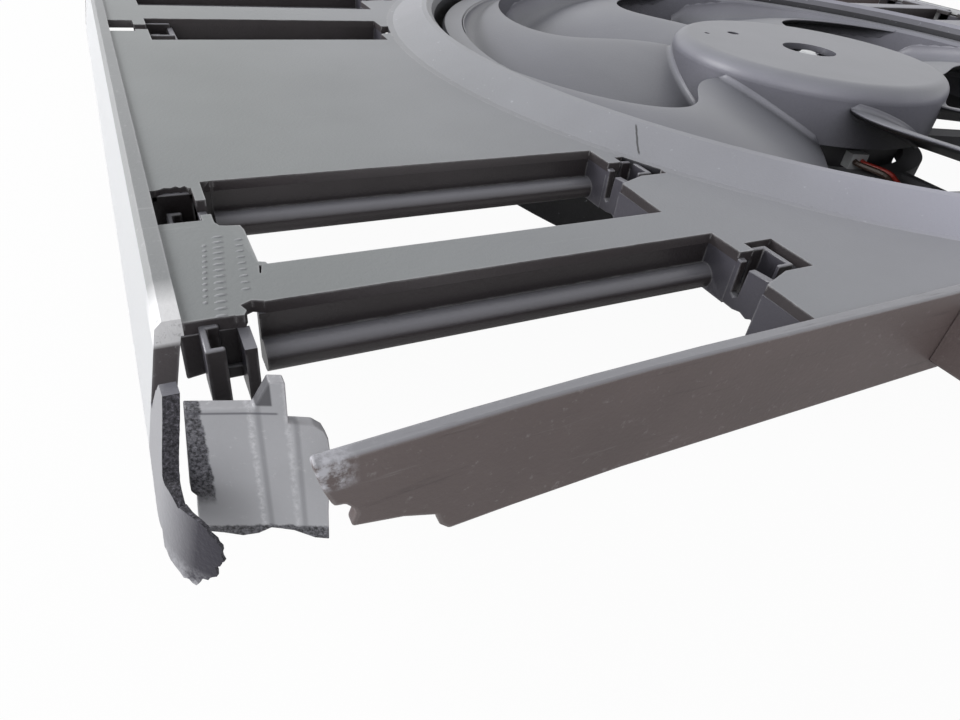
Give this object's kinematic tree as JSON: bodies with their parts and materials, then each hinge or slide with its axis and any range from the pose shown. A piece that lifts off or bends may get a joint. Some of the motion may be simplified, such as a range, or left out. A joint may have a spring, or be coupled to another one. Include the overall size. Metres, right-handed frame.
{
  "type": "radiator cooling fan",
  "caption": "Car radiator cooling fan: wide moulded shroud with flap windows, banded fan wheel with swept blades, and a flat electric motor on radial arms.",
  "frame": {"origin": "on the fan's axis, at the motor's rear face, which is the lowest point of the part as it lies face up", "axes": "+X along the long side of the shroud, +Y towards the rail with the screw lugs, +Z along the fan's axis towards the radiator"},
  "size_m": [0.7444, 0.484, 0.0734],
  "materials": {
    "shroud_plastic": "moulded, satin, scuffed",
    "fan_plastic": "moulded, satin",
    "plain_steel": "turned",
    "core_steel": "stacked sheets",
    "copper_wire": "lacquered",
    "copper_bars": "turned",
    "motor_paint": "satin",
    "cast_alloy": "cast",
    "ferrite": "sintered",
    "card_board": "matte",
    "carbon": "matte",
    "grey_rubber": "matte",
    "red_insulation": "satin",
    "brown_insulation": "satin",
    "connector_plastic": "satin",
    "tinned_brass": "tinned"
  },
  "bodies": {
    "shroud": {"panel_left": "shroud_plastic", "panel_right": "shroud_plastic", "side_wall_left": "shroud_plastic", "side_wall_right": "shroud_plastic", "near_rail_left": "shroud_plastic", "near_rail_right": "shroud_plastic", "far_rail_left": "shroud_plastic", "far_rail_right": "shroud_plastic", "shroud_corners": "shroud_plastic", "corner_plate": "shroud_plastic", "corner_skin": "shroud_plastic", "window_walls_left": "shroud_plastic", "window_walls_right": "shroud_plastic", "flap_hooks": "shroud_plastic", "bevel_ring": "shroud_plastic", "ring_skirts": "shroud_plastic", "fan_collar": "shroud_plastic", "stator_arms": "shroud_plastic", "motor_carrier": "shroud_plastic", "mounting_lugs": "shroud_plastic", "lug_bushes": "plain_steel", "locating_tabs": "shroud_plastic", "motor_can": "motor_paint", "motor_end_plate": "cast_alloy", "magnets": "ferrite", "front_bearing": "plain_steel", "rear_bearing": "plain_steel", "brush_card": "card_board", "brushes": "carbon", "brush_springs": "plain_steel", "motor_screws": "plain_steel", "lead_grommet": "grey_rubber", "lead_red": "red_insulation", "lead_brown": "brown_insulation", "lead_connector": "connector_plastic", "connector_pins": "tinned_brass", "lead_clips": "connector_plastic"},
    "fan": {"fan_hub": "fan_plastic", "fan_blades": "fan_plastic", "fan_hoop": "fan_plastic", "hub_insert": "plain_steel", "retaining_clip": "plain_steel", "motor_shaft": "plain_steel", "armature_core": "core_steel", "armature_windings": "copper_wire", "commutator": "copper_bars"}
  },
  "joints": [
    {"name": "fan_spin", "type": "hinge", "parent": "shroud", "child": "fan", "pos_m": [0, 0, 0.05], "axis": [0, 0, 1], "continuous": true}
  ]
}
